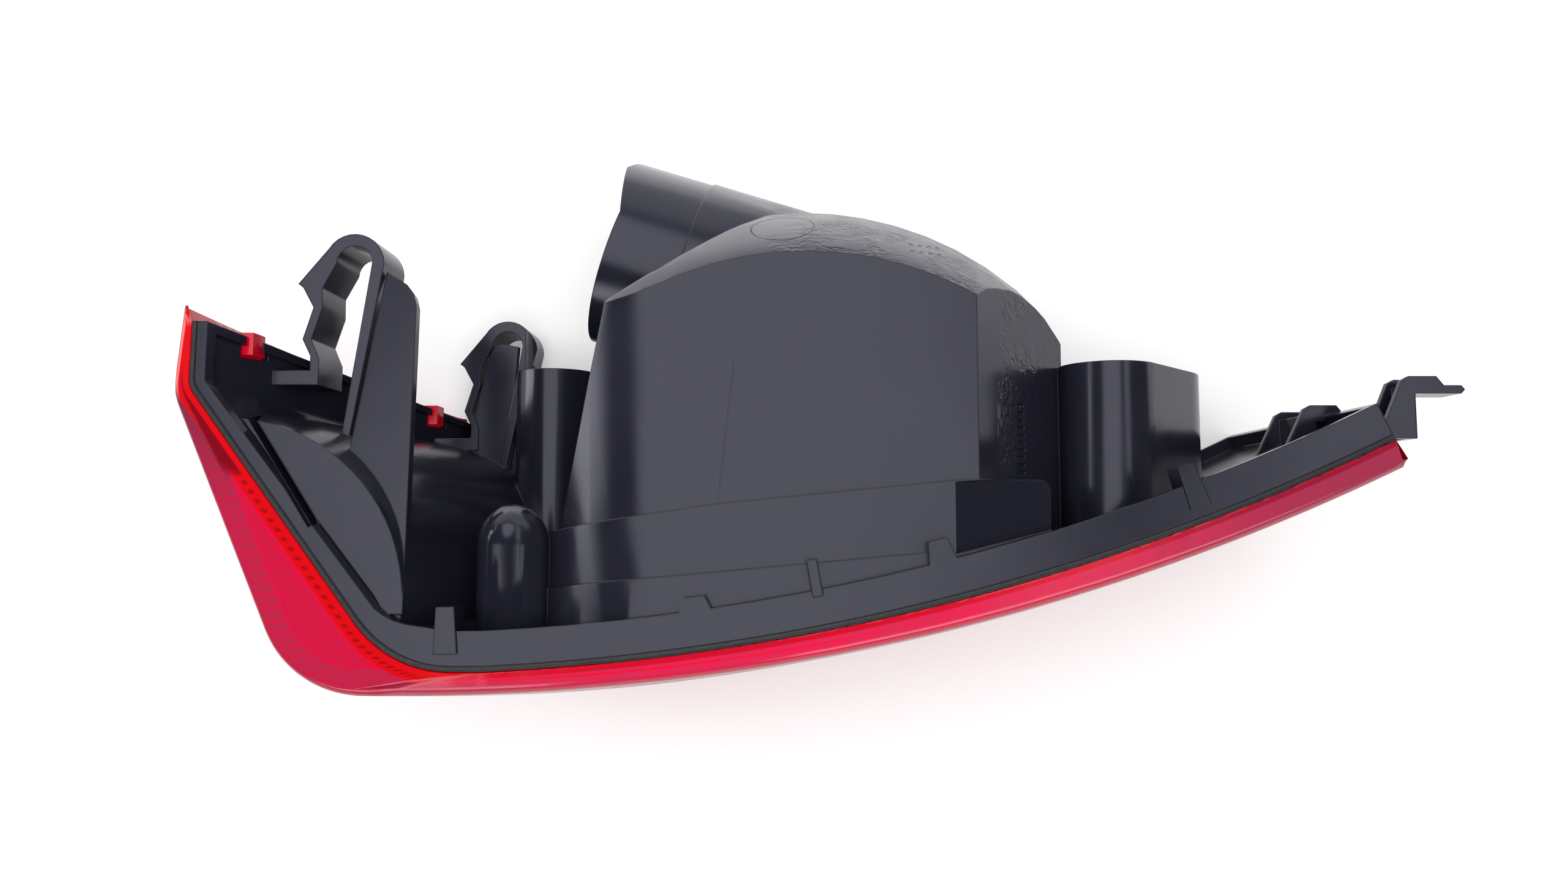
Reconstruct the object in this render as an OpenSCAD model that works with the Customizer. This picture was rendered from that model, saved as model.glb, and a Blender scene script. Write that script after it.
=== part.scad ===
// Rear corner lamp cluster, left-hand side of a car.
// X runs along the rear of the car towards its middle, Y points forwards into the body, Z is up.
// The origin lies on the lower edge of the housing, under the middle of the rear face.

/* [Outline] */
// Height of the lamp from its lower edge to its upper edge
lamp_h = 95; // [90:1:100]
// Distance from the origin to the inboard end of the lens
inboard_x = 159; // [152:1:164]
// Radius of the rear face seen from above
rear_r = 600; // [560:10:700]
// Distance from the origin to the outer corner of the lens
corner_x = 125; // [118:1:130]
// Bend radius of the lens at the outer corner
corner_r = 27; // [20:1:30]
// How far the lens wraps forwards along the side of the car
wrap_y = 80; // [76:1:84]
// How far the lower end of the wrap lies inboard of its upper end
lean_x = 46; // [38:1:50]
// How far the lower end of the wrap lies behind its upper end
lean_y = 20; // [14:1:22]

/* [Lens] */
// Wall thickness of the lens
lens_t = 2.6; // [2:0.1:3.2]
// How far the rear face bulges outwards at mid height
lens_crown = 4; // [2:0.5:6]
// Depth of the lens edge near the outer corner
edge_depth_outer = 5.8; // [5:0.2:7]
// Depth of the lens edge at the inboard end
edge_depth_inner = 8.6; // [7.6:0.2:10]
// Radius along the upper and lower edges of the lens
lens_edge_r = 3; // [2:0.5:4]
// Width of the lugs that hold the lens in the housing
lug_w = 5.4; // [4.6:0.2:6.2]

/* [Housing] */
// Wall thickness of the housing
wall = 2.5; // [2:0.1:3]
// Depth of the rim along the rear face
rim_h = 9.7; // [8.5:0.1:11]
// Depth of the rim along the side of the car
rim_side = 4.8; // [4.2:0.1:5.4]
// How far the back of the tray lies below the edge of the rim
rim_lip = 4; // [3:0.2:5]
// Width of the bead of sealant between the lens and the housing
seal_w = 1.6; // [1:0.1:2]
// Width of the slot between the rim and the side chamber
slot_w = 1.8; // [1.2:0.1:2.4]

/* [Main chamber] */
// Centre line of the main chamber from the origin
chamber_x = 6; // [2:1:10]
// Height of the centre of the main chamber above the lower edge
chamber_z = 45; // [43:1:47]
// Top of the dome from the origin
dome_y = 116.5; // [113:0.5:120]
// Radius of the dome from its upper to its lower side
dome_r = 58.5; // [55:0.5:62]
// Radius of the dome from side to side
dome_side_r = 92; // [88:1:98]
// Distance from the centre line to the outer side of the chamber
chamber_left = 78; // [76:1:80]
// Distance from the centre line to the inboard side of the chamber
chamber_right = 75; // [73:1:77]
// Height of the flat part between the two roundings of the outer side
chamber_flat = 4; // [2:0.5:8]
// Draft angle of the outer side of the chamber
chamber_draft = 13; // [9:1:15]

/* [Lamp sockets] */
// Outer radius of the hood round the stop lamp socket
hood_r = 28; // [26.5:0.5:29]
// Angle of the hood above the line of the rear face
hood_angle = 17; // [13:1:20]
// Outer radius of the fog lamp tube
fog_r = 24; // [23.5:0.1:24.2]
// Top of the fog lamp tube from the origin
fog_y = 69; // [66:1:72]
// Outer radius of the tail lamp tube
tail_r = 12.5; // [12:0.5:13.5]
// Top of the tail lamp tube from the origin
tail_y = 73; // [70:1:76]
// Depth of the sockets below the mouths of their tubes
seat_depth = 12; // [11:0.5:14]
// Radius of the holes for the stop and fog bulb holders
socket_r = 13.6; // [13:0.2:14]

/* [Clips and hooks] */
// Radius round the top of the snap clips
clip_r = 8.3; // [7.5:0.1:9]
// Thickness of the springy leg of a snap clip
clip_t = 2.4; // [2:0.1:3]
// Width of the snap clips
clip_w = 17; // [14:0.5:18]
// Thickness of the hooks at the inboard end
hook_t = 2.2; // [1.8:0.1:2.6]
// Reach of the hooks beyond their webs
hook_reach = 12; // [10:0.5:14]
// Width of the wide hook
wide_hook_w = 20; // [16:1:24]
// Width of the narrow hook
narrow_hook_w = 9; // [8:0.5:11]

/* [Hidden] */

$fn = 96;
black = [0.10, 0.10, 0.12];
grey = [0.25, 0.25, 0.27];
red = [0.78, 0.05, 0.12];
silver = [0.85, 0.86, 0.88];
brass = [0.80, 0.66, 0.38];
clear = [0.86, 0.90, 0.92];

// Amount by which a cut runs past the surface that it opens
past = 1;
// Fit between pieces that seat in each other
fit = 0.3;

// Plan of the lens along the rear of the car
rear_x0 = -98;
rear_y0 = -19.6;
rear_steps = 20;
corner = [-corner_x, rear_y0];
knee = [-33, 77];
side_knee = corner + knee;
side_tip = [-corner_x - 31, wrap_y];
knee_r = 16;
nose_r = 2.4;

// Plan of the joint between the lens and the housing
joint_corner = corner + [25.7, edge_depth_outer + 0.6];
joint_corner_r = corner_r + 3;
joint_knee = side_knee + [5.4, 1.6];
joint_tip = side_tip + [3.6, -4.2];
joint_x0 = joint_corner[0] + 23;
joint_x1 = inboard_x - 2.5;
tip_h = 3.4;

// Heights of the sections through the lens
edge_steps = 3;
crown_steps = 6;
lens_levels = concat(
  [for (i = [0 : edge_steps]) lens_edge_r * (1 - cos(90 * i / edge_steps))],
  [for (i = [1 : crown_steps - 1]) lens_edge_r + (lamp_h - 2 * lens_edge_r) * i / crown_steps],
  [for (i = [edge_steps : -1 : 0]) lamp_h - lens_edge_r * (1 - cos(90 * i / edge_steps))]
);

// Reach of the room outside the joint line, where nothing of the chambers is left
outside_reach = 150;

// Main chamber
chamber_top_z = lamp_h - 6;
chamber_low_z = 5;
crease_x = 51;
crease_run = 33;
chamber_r = (chamber_top_z - chamber_low_z - chamber_flat) / 2;
shoulder = [chamber_x - 23.5, dome_y - 13];
shoulder_slope = 0.67;
dome_steps = 18;
dome_levels = 10;
step_gap = 1.3;
step_x = chamber_x + 63.5;

// Hood, measured at the centre of its mouth
hood_at = [chamber_x - 55.6, dome_y - 10.2, chamber_z - 3];
hood_l = 58;
hood_t = 2.2;

// Fog lamp tube: a wide round barrel with a narrow rounded flank towards the top of the lamp
fog_at = [chamber_x + chamber_right + fog_r - 1, fog_y, fog_r + 9];
fog_flank = [-10.5, 26];
fog_flank_r = 14;
tube_t = 2.2;

// Tail lamp tube
tail_at = [51 - corner_x, tail_y, tail_r + 5.5];
tail_socket_r = tail_r - tube_t - 2.2;

// Side chamber: a long round vault that leans with the end of the lens
vault_at = [-corner_x - 20, 4, lamp_h - 20];
vault_r = 50;
vault_lean = [0.42, -0.05];
vault_low_z = 4;
facet_z = lamp_h - 3.2;
slot_depth = 14;

// Bulb holders, along the axis of their socket
recess = 3;
seat_t = 2.4;
gasket_t = 1.5;
neck_l = 10;
neck_gap = 0.6;
bulb_z = -recess - 4;
cap_r = 7.5;
cap_l = 16;
glass_r = 12.5;
glass_neck_r = 6;
glass_t = 0.8;
fog_bulb_r = 7.5;
fog_bulb_l = 36;
tail_bulb_r = 5;
tail_bulb_l = 27;
bulb_fit = 0.15;
liner_t = 1.2;

function clamp01(v) = min(1, max(0, v));
function smooth(v) = let (c = clamp01(v)) c * c * (3 - 2 * c);
function unit(v) = v / norm(v);
function reversed(list) = [for (i = [len(list) - 1 : -1 : 0]) list[i]];

// Points of an arc about c, from angle a0 to a1
function arc(c, r, a0, a1, n) = [
  for (i = [0 : n])
    let (a = a0 + (a1 - a0) * i / n)
    c + r * [cos(a), sin(a)]
];

// Points of the arc that rounds the corner b of the path a, b, c
function fillet(a, b, c, r, n) =
  let (
    u = unit(a - b),
    v = unit(c - b),
    half = acos(u * v) / 2,
    centre = b + unit(u + v) * r / sin(half),
    start = b + u * r / tan(half) - centre,
    end = b + v * r / tan(half) - centre,
    a0 = atan2(start[1], start[0]),
    turn = atan2(start[0] * end[1] - start[1] * end[0], start * end)
  )
  arc(centre, r, a0, a0 + turn, n);

// Rear face of the lens seen from above
function rear_y(x) = rear_y0 + rear_r - sqrt(rear_r * rear_r - (x - rear_x0) * (x - rear_x0));
function along(x) = clamp01((x - rear_x0) / (inboard_x - rear_x0));
function edge_depth(x) = edge_depth_outer + (edge_depth_inner - edge_depth_outer) * along(x);
function joint_y(x) = rear_y(x) + edge_depth(x);

// Outer line of the lens, from the inboard end round the corner to the end of the wrap
lens_path = concat(
  [for (i = [0 : rear_steps]) let (x = inboard_x + (rear_x0 - inboard_x) * i / rear_steps) [x, rear_y(x)]],
  fillet([rear_x0, rear_y0], corner, side_knee, corner_r, 8),
  fillet(corner, side_knee, side_tip, knee_r, 4),
  [side_tip]
);

// Line of the joint between the lens and the housing, in the same direction
joint_path = concat(
  [for (i = [0 : rear_steps]) let (x = joint_x1 + (joint_x0 - joint_x1) * i / rear_steps) [x, joint_y(x)]],
  fillet([joint_x0, joint_y(joint_x0)], joint_corner, joint_knee, joint_corner_r, 8),
  fillet(joint_corner, joint_knee, joint_tip, 6, 4),
  [joint_tip]
);

// Each point of a path moved sideways, outwards where the distance is positive
function side_of(path, i) =
  let (d = unit(path[min(i + 1, len(path) - 1)] - path[max(i - 1, 0)]))
  [-d[1], d[0]];
function shifted(path, by) = [for (i = [0 : len(path) - 1]) path[i] + side_of(path, i) * by];

// A path with its inboard end and the end of its wrap drawn in
function shortened(path, by, by_tip) =
  let (n = len(path) - 1)
  concat(
    [path[0] + unit(path[1] - path[0]) * by],
    [for (i = [1 : n - 1]) path[i]],
    [path[n] + unit(path[n - 1] - path[n]) * by_tip]
  );

// Depth of the rim at a point of the joint: full along the rear, less along the side
function rim_at(p) =
  p[1] > joint_knee[1] - 6
    ? tip_h
    : rim_side + (rim_h - rim_side) * smooth((p[0] - joint_corner[0] + 14) / 22);
function rim_line(share, less) = [
  for (i = [0 : len(joint_path) - 1])
    joint_path[i] - side_of(joint_path, i) * (rim_at(joint_path[i]) * share - less)
];
rim_path = rim_line(1, 0);
back_path = rim_line(1 - rim_lip / rim_h, 0);
floor_path = rim_line(1 - rim_lip / rim_h, wall);
middle_path = rim_line(1 - rim_lip / rim_h, wall / 2);

// The side of the lamp leans: the wrap moves inboard and backwards towards the lower edge
function leaned(p, z) =
  let (
    t = 1 - z / lamp_h,
    w = smooth((20 - p[0]) / 130),
    h = clamp01(p[1] / wrap_y)
  )
  [p[0] + lean_x * w * t, p[1] - lean_y * w * h * t, z];

// Faces that close a section made of a reversed outer path and an inner path of n points each,
// with any points that lie between the first ends of the two
function strip_cap(n, between) =
  let (quads = [for (i = [0 : n - 2]) [n - 2 - i, n - 1 - i, n + between + i, n + between + i + 1]])
  between > 0 ? concat(quads, [[for (i = [n - 1 : n + between]) i]]) : quads;

// A solid through sections with the same number of points, from the lowest to the highest
module loft(sections, cap) {
  n = len(sections[0]);
  m = len(sections);
  polyhedron(
    points = [for (s = sections) each s],
    faces = concat(
      cap,
      [for (j = [0 : m - 2], i = [0 : n - 1])
        let (k = (i + 1) % n)
        [j * n + i, (j + 1) * n + i, (j + 1) * n + k]],
      [for (j = [0 : m - 2], i = [0 : n - 1]) let (k = (i + 1) % n) [j * n + i, (j + 1) * n + k, j * n + k]],
      [for (face = cap) [for (i = reversed(face)) (m - 1) * n + i]]
    )
  );
}

// The solid between an outer and an inner path with as many points each, from z0 to z1
module band(outer, inner, z0, z1) {
  outline = concat(reversed(outer), inner);
  loft([for (z = [z0, z1]) [for (p = outline) leaned(p, z)]], strip_cap(len(outer), 0));
}

// The same, cut off at a margin from the upper and lower edges
module inner_band(outer, inner, margin) {
  intersection() {
    band(outer, inner, -past, lamp_h + past);
    translate([-200, -60, margin]) cube([400, 260, lamp_h - 2 * margin]);
  }
}

// A plate in the plane of the upper edge, from z0 to z1
module slab(z0, z1) {
  translate([0, 0, z0]) linear_extrude(z1 - z0) children();
}

// A prism along Y over a plan outline whose second coordinate is the height
module upright(y0, y1) {
  translate([0, y1, 0]) rotate([90, 0, 0]) linear_extrude(y1 - y0) children();
}

// Outward offset of the lens at a height: the crown, less the rounded edge
function bulge(z) =
  let (
    c = lens_crown * (1 - pow(2 * z / lamp_h - 1, 2)),
    e = max(0, lens_edge_r - min(z, lamp_h - z))
  )
  c - lens_edge_r + sqrt(lens_edge_r * lens_edge_r - e * e);

lens_joint = shifted(joint_path, seal_w / 2);
housing_joint = shifted(joint_path, -seal_w / 2);
seal_side = seal_w / 2 - fit;
lens_nose = fillet(lens_path[1], lens_path[0] + [2, 0.8], lens_joint[0], nose_r, 3);

module lens_body() {
  loft([
    for (z = lens_levels)
      let (face = shifted(lens_path, bulge(z)))
      [for (p = concat(reversed(face), [lens_nose[2]], lens_joint)) leaned(p, z)]
  ], strip_cap(len(lens_path), 1));
}

module lens_cavity() {
  inner_levels = concat(
    [lens_t],
    [for (z = lens_levels) if (z > lens_t + 1 && z < lamp_h - lens_t - 1) z],
    [lamp_h - lens_t]
  );
  open_side = shortened(shifted(joint_path, -past), lens_t, lens_t);
  loft([
    for (z = inner_levels)
      let (face = shortened(shifted(lens_path, bulge(z) - lens_t), lens_t, lens_t))
      [for (p = concat(reversed(face), open_side)) leaned(p, z)]
  ], strip_cap(len(lens_path), 0));
}

// Heights of the two lugs at the end of the wrap
lug_heights = [lamp_h - 15, 17];
lug_l = 7;
lug_gap = 0.8;

// A lug at the end of the wrap, or the room for it where it is grown
module lug(z, grow) {
  at = leaned(joint_tip, z);
  size = [lug_w, 6, lug_l] + 2 * [grow, grow, grow];
  translate([at[0], at[1] - 1, z]) cube(size, center = true);
}

module outer_lens() {
  color(red) difference() {
    union() {
      lens_body();
      for (z = lug_heights) {
        lug(z, 0);
      }
    }
    lens_cavity();
  }
}

module lens_seal() {
  inner = seal_w * 1.4;
  tip = 7;
  color("dimgray") difference() {
    band(shifted(joint_path, seal_side), shifted(joint_path, -seal_side), 0, lamp_h);
    inner_band(
      shortened(shifted(joint_path, seal_side + past), inner, tip),
      shortened(shifted(joint_path, -seal_side - past), inner, tip),
      inner
    );
    for (z = lug_heights) {
      lug(z, lug_gap);
    }
  }
}

// Reflex reflector behind the side of the lens
module reflex_panel() {
  first = rear_steps + 9;
  last = rear_steps + 10;
  panel_t = 1.6;
  panel_z = 9;
  side = [for (i = [first, last]) lens_path[i]];
  function sheet(z, inset) = shortened(shifted(side, bulge(z) - lens_t - inset), 2, 2);
  color([0.9, 0.03, 0.06]) loft([
    for (z = [panel_z : (lamp_h - 2 * panel_z) / 8 : lamp_h - panel_z + 0.01])
      [for (p = concat(reversed(sheet(z, fit)), sheet(z, fit + panel_t))) leaned(p, z)]
  ], strip_cap(2, 0));
}

// Plan of the main chamber, as X and height: a round outer side and a creased inboard side
function chamber_plan(inset) =
  let (
    left = chamber_x - chamber_left + inset,
    right = chamber_x + chamber_right - inset,
    low = chamber_low_z + inset,
    top = chamber_top_z - inset,
    r = chamber_r - inset,
    crease = crease_x - inset * 0.4
  )
  concat(
    [[crease, low], [right, low + crease_run], [right, top - crease_run], [crease, top]],
    arc([left + r, top - r], r, 90, 180, 9),
    arc([left + r, low + r], r, 180, 270, 9)
  );

// Outline of the main chamber seen from above, with its drafted outer side
function chamber_side(inset) =
  let (foot = chamber_x - chamber_left + 2 + inset, high = dome_y + 5, low = -25)
  [
    [foot, low],
    [chamber_x + chamber_right + 5, low],
    [chamber_x + chamber_right + 5, high],
    [foot + (high - low) * tan(chamber_draft) - 4, high]
  ];

// The outer shoulder of the chamber, where it slopes down below the hood
function chamber_shoulder(inset) =
  let (high = shoulder[1] - inset * norm([1, shoulder_slope]), left = 70, right = 110)
  [
    [shoulder[0] - left, -35], [shoulder[0] + right, -35],
    [shoulder[0] + right, high + right * shoulder_slope], [shoulder[0] - left, high - left * shoulder_slope]
  ];

// How far a round surface of radius r has dropped at a distance from its crest
function round_drop(r, distance) = r - sqrt(max(0, r * r - distance * distance));

// Room under the dome: its crest runs round from side to side, and drops towards its upper and lower sides
module dome_room(inset) {
  half = (chamber_left + chamber_right) / 2 + past;
  function dome_section(z) = concat(
    [[chamber_x + half, -30, z]],
    [for (i = [0 : dome_steps])
      let (x = half * (1 - 2 * i / dome_steps))
      [chamber_x + x, dome_y - inset - round_drop(dome_side_r, x) - round_drop(dome_r, z - chamber_z), z]],
    [[chamber_x - half, -30, z]]
  );
  crest = dome_steps / 2 + 1;
  strips = [for (i = [0 : crest - 2]) [i, i + 1, dome_steps + 1 - i, dome_steps + 2 - i]];
  loft(
    [for (i = [0 : dome_levels]) dome_section(i / dome_levels * lamp_h)],
    concat(strips, [[crest - 1, crest, crest + 1]])
  );
}

module chamber_form(inset) {
  intersection() {
    upright(-30, dome_y + 5) polygon(chamber_plan(inset));
    slab(-past, lamp_h + past) polygon(chamber_side(inset));
    slab(-past, lamp_h + past) polygon(chamber_shoulder(inset));
    dome_room(inset);
  }
}

// The foot of the main chamber steps outwards twice towards the rim
module chamber_step(grow, outline) {
  plan = concat(
    [[step_x, chamber_low_z - grow], [step_x, chamber_top_z + grow]],
    arc([chamber_x - chamber_left + chamber_r, chamber_top_z - chamber_r], chamber_r + grow, 90, 180, 9),
    arc([chamber_x - chamber_left + chamber_r, chamber_low_z + chamber_r], chamber_r + grow, 180, 270, 9)
  );
  intersection() {
    upright(-30, 60) polygon(plan);
    slab(0, lamp_h) polygon(outline);
  }
}

module chamber_foot() {
  high_step = concat(
    [[-100, -30], [step_x - 1, -30]],
    fillet([step_x - 1, 0], [step_x, 35], [46, 35], 3, 5),
    [[46, 35], [-17, 28.8], [-51, 23.8], [-100, 15]]
  );
  low_step = [[-100, -30], [40, -30], [37.6, 16.2], [-20, 11], [-49, 8.4], [-100, 2]];
  chamber_step(step_gap, high_step);
  chamber_step(2 * step_gap, low_step);
}

// Places its children with Z along the hood, outwards from its mouth
module in_hood() {
  translate(hood_at) rotate([0, 0, -hood_angle]) rotate([0, -90, 0]) children();
}
module in_fog() {
  translate(fog_at) rotate([-90, 0, 0]) children();
}
module in_tail() {
  translate(tail_at) rotate([-90, 0, 0]) children();
}

// The end of the hood as far in as the seat of its bulb holder
module hood_end(grow) {
  in_hood() translate([0, 0, -seat_depth - seat_t - grow])
    cylinder(r = hood_r + grow, h = seat_depth + seat_t + 20);
}

module hood() {
  along_top = hood_at[1] + hood_r;
  mouth = [
    [60, along_top + 30], [hood_at[0] + 12, along_top + 5], [hood_at[0] + 3.5, along_top - 6],
    [hood_at[0] + 3, along_top - 22], [hood_at[0] - 12, along_top - 62], [60, along_top - 90]
  ];
  intersection() {
    in_hood() translate([0, 0, -hood_l]) cylinder(r = hood_r, h = hood_l + 12);
    slab(0, lamp_h) polygon(mouth);
  }
  in_hood() translate([0, 0, -hood_l]) cylinder(r = hood_r + 0.5, h = 36);
}

// Plan of the fog lamp tube: two circles and the flanks between them
module fog_plan(inset) {
  gap = norm(fog_flank);
  swing = acos((fog_r - fog_flank_r) / gap);
  toward = atan2(fog_flank[1], fog_flank[0]);
  ends = [for (s = [-1, 1]) [cos(toward + s * swing), sin(toward + s * swing)]];
  wide = fog_r - inset - 0.05;
  narrow = fog_flank_r - inset - 0.05;
  translate([fog_at[0], fog_at[2]]) {
    circle(fog_r - inset);
    translate(fog_flank) circle(fog_flank_r - inset);
    polygon([
      ends[0] * wide, fog_flank + ends[0] * narrow,
      fog_flank + ends[1] * narrow, ends[1] * wide
    ]);
  }
}

// The leaning vault of the side chamber
module vault(inset) {
  lean_angle = atan(norm(vault_lean));
  length = (vault_at[2] - vault_low_z) / cos(lean_angle) - inset;
  profile = concat(arc([0, 0], vault_r - inset, -90, 0, 9), [[vault_r - inset, length], [0, length]]);
  intersection() {
    translate(vault_at)
      rotate([0, 0, atan2(vault_lean[1], vault_lean[0])])
      rotate([0, 180 - lean_angle, 0])
      rotate_extrude() polygon(profile);
    translate([-220, -60, vault_low_z + inset]) cube([220, 140, facet_z - vault_low_z - 2 * inset]);
  }
}

// Rounded swelling between the side chamber and the main chamber
module swelling() {
  swell_r = 9.5;
  translate([52 - corner_x, -6, lamp_h - 18]) rotate([-90, 0, 0]) rotate_extrude() polygon(concat(
    [[0, 0], [swell_r, 0]],
    [for (a = [0 : 10 : 90]) [swell_r * cos(a), 24 + 11 * sin(a)]]
  ));
}

// Profile of a snap clip about the centre of its top: spring leg with a barb, round top, rigid leg
function clip_profile(foot) =
  let (s = clip_r / 8.3, inner = clip_r - clip_t - 1)
  concat(
    [[-1.8 * s, -foot]],
    arc([0, 0], clip_r, 0, 150, 12),
    [[-15.3, -5.8] * s, [-13.9, -6.9] * s, [-10.9, -12.4] * s],
    [[-13.6, -21.3] * s, [-11.3, -26] * s, [-11.3, -34] * s],
    [[-11.3 * s + clip_t, -34 * s], [-11.3 * s + clip_t, -26.6 * s], [-13.6 * s + clip_t, -21.3 * s]],
    [[-10.9 * s + clip_t, -12.8 * s], [-8.6 * s, -7 * s]],
    arc([0, 0], inner, 180, 0, 12),
    [[inner - 8.6 * s, -foot]]
  );

// A clip on the wrap: centre of its top, height of its upper side, length of its rigid leg
clip_1 = [5.7 - corner_x, wrap_y + 15.8, lamp_h - 20];
clip_2 = [34.7 - corner_x, wrap_y + 1.9, clip_w + 1];
web_rise = 11.8;
module clip(at, foot) {
  translate([at[0], at[1], 0]) slab(at[2] - clip_w, at[2]) polygon(clip_profile(foot));
}

// The foot of the spring leg is joined to the side wall of the wrap
module clip_foot(at) {
  translate([at[0] - 24, at[1] - 34 * clip_r / 8.3, at[2] - clip_w]) cube([15, 4, clip_w]);
}

// The web of the first clip rises towards the rear until it runs out on the side chamber
module gusset_1() {
  web = [
    [8.5, -2.8], [12.8, -5.4], [14.7, -6.8], [16.7, -9.4], [17.7, -12.8],
    [22, -98], [-5, -98], [3.8, -53.8], [5.8, -33.8]
  ];
  translate([clip_1[0], clip_1[1], clip_1[2] - 5.6]) rotate([-web_rise, 0, 0]) slab(0, 3.4) polygon(web);
}

module gusset_2() {
  inside = concat(
    [[-13.5, -38], [-7, -7]],
    fillet([-7, -7], [-4.6, 1.6], [3, 0], 4, 4),
    [[3.4, 0], [0, -50], [-16, -50]]
  );
  outside = [[5, -3], [9, -7], [12, -12], [13, -20], [13, -62], [0, -62], [0, -40]];
  translate([clip_2[0], clip_2[1], 0]) {
    slab(clip_2[2] - 3.4, clip_2[2] - 0.6) polygon(inside);
    slab(clip_2[2] - 9, clip_2[2] - 6) polygon(outside);
  }
}

// A hook: a web that stands on the tray, a tongue and two ribs
module hook(at, width, foot) {
  rise = 4.6;
  tongue = [
    [-hook_t, -foot], [0, -foot], [0, -hook_t], [hook_reach, -hook_t],
    [hook_reach + 1, -hook_t / 2], [hook_reach, 0], [-hook_t, 0]
  ];
  rib = [
    [-10, -foot], [-hook_t, -foot], [-hook_t, -hook_t], [8.4, -hook_t / 2],
    [5.6, rise - hook_t], [-1.6, rise - hook_t], [-3.4, rise - hook_t - 1]
  ];
  translate([at[0], at[1], at[2] - width]) {
    linear_extrude(width) polygon(tongue);
    for (z = [0, width - 1.8]) {
      translate([0, 0, z]) linear_extrude(1.8) polygon(rib);
    }
  }
}
wide_hook = [inboard_x - 11, joint_y(inboard_x - 11) + 12.6, lamp_h - 24];
narrow_hook = [inboard_x + 5.6, joint_y(inboard_x + 5.6) + 10.1, lamp_h - 4];

// A tab that crosses the edge of the rim, given along the rear face
module rim_tab(x, width, top_width, above, below, proud) {
  y = joint_y(x) + rim_h;
  tilt = asin((x - rear_x0) / rear_r);
  translate([x, y, 0]) rotate([0, 0, tilt]) slab(lamp_h - 8, lamp_h + proud) polygon([
    [-width / 2, -below], [width / 2, -below], [top_width / 2, above], [-top_width / 2, above]
  ]);
}

module rim_tabs() {
  rim_tab(-85.5, 6, 4.6, 6.4, 5.4, 0.6);
  rim_tab(-22.4, 9, 5.4, 3.6, 1, 0);
  rim_tab(8.4, 2.6, 2.6, 8, 1.4, 0.4);
  rim_tab(40.6, 8, 5, 6, 1.6, 0);
  rim_tab(104.3, 5.6, 4.2, 5.4, 5.6, 0.6);
}

// Tray that carries the lens: an edge all round and a sunk back
module tray() {
  difference() {
    band(housing_joint, rim_path, 0, lamp_h);
    inner_band(
      shortened(back_path, wall, wall), shortened(shifted(rim_path, -past), wall, wall),
      wall
    );
  }
}

// All that lies behind the joint line as far as the middle of the tray's back
module behind_tray() {
  band(shifted(joint_path, outside_reach), middle_path, -past, lamp_h + past);
}

module chambers() {
  difference() {
    union() {
      chamber_form(0);
      chamber_foot();
      hood();
      upright(5, fog_at[1]) fog_plan(0);
      upright(-15, tail_at[1]) translate([tail_at[0], tail_at[2]]) circle(tail_r);
      vault(0);
      swelling();
      gusset_1();
      gusset_2();
      clip(clip_1, 60);
      clip(clip_2, 50);
      clip_foot(clip_1);
      clip_foot(clip_2);
      hook(wide_hook, wide_hook_w, 12);
      hook(narrow_hook, narrow_hook_w, 14);
    }
    behind_tray();
  }
}

// A socket: recess for the bulb holder, hole in its seat, and the room inside
module socket_cut(recess_r, hole_r) {
  translate([0, 0, -seat_depth]) cylinder(r = recess_r, h = seat_depth + 20);
  translate([0, 0, -seat_depth - seat_t - past]) cylinder(r = hole_r, h = seat_t + 2 * past);
}

// Slot between the rim and the side chamber, closed all round by a wall where it is grown
module slot(grow) {
  from = [-14.6 - corner_x, 51.4];
  run = [3.8 - corner_x, 22.6] - from;
  translate([from[0], from[1], lamp_h - slot_depth - grow]) rotate([0, 0, atan2(run[1], run[0])])
    translate([-grow, -grow, 0]) cube([norm(run) + 2 * grow, slot_w + 2 * grow, slot_depth + grow + past]);
}

module housing_cavities() {
  inner_band(
    shortened(shifted(housing_joint, rim_lip), wall, wall), shortened(floor_path, wall, wall),
    wall
  );
  difference() {
    chamber_form(wall);
    hood_end(0);
  }
  in_hood() {
    socket_cut(hood_r - hood_t, socket_r);
    translate([0, 0, -hood_l + 6]) cylinder(r = hood_r - hood_t, h = hood_l - 6 - seat_depth - seat_t);
  }
  difference() {
    union() {
      vault(wall);
      in_fog() socket_cut(fog_r - tube_t, socket_r);
      upright(5, fog_at[1] - seat_depth - seat_t) fog_plan(tube_t);
      in_tail() {
        socket_cut(tail_r - tube_t, tail_socket_r);
        translate([0, 0, -80]) cylinder(r = tail_r - tube_t, h = 80 - seat_depth - seat_t);
      }
    }
    chamber_form(0);
  }
}

module housing() {
  color(black) difference() {
    union() {
      difference() {
        union() {
          tray();
          chambers();
        }
        difference() {
          housing_cavities();
          slot(wall);
        }
      }
      rim_tabs();
    }
    slot(0);
    for (z = lug_heights) {
      lug(z, lug_gap);
    }
  }
}

// Bright liner of the main chamber, open to the lens and to the stop lamp
module main_reflector() {
  color(silver) difference() {
    chamber_form(wall + fit);
    chamber_form(wall + fit + liner_t);
    band(shifted(joint_path, outside_reach), floor_path, -past, lamp_h + past);
    hood_end(fit);
    in_hood() translate([0, 0, -hood_l]) cylinder(r = socket_r + past, h = hood_l);
  }
}

// Bright cup that widens from r0 at the seat of a socket to r1
module cup(r0, r1, length) {
  steps = 10;
  function wide(i) = r0 + (r1 - r0) * sqrt(i / steps);
  translate([0, 0, -seat_depth - seat_t]) rotate_extrude() polygon(concat(
    [for (i = [0 : steps]) [wide(i), -length * i / steps]],
    [for (i = [steps : -1 : 0]) [wide(i) + liner_t, -length * i / steps]]
  ));
}

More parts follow.
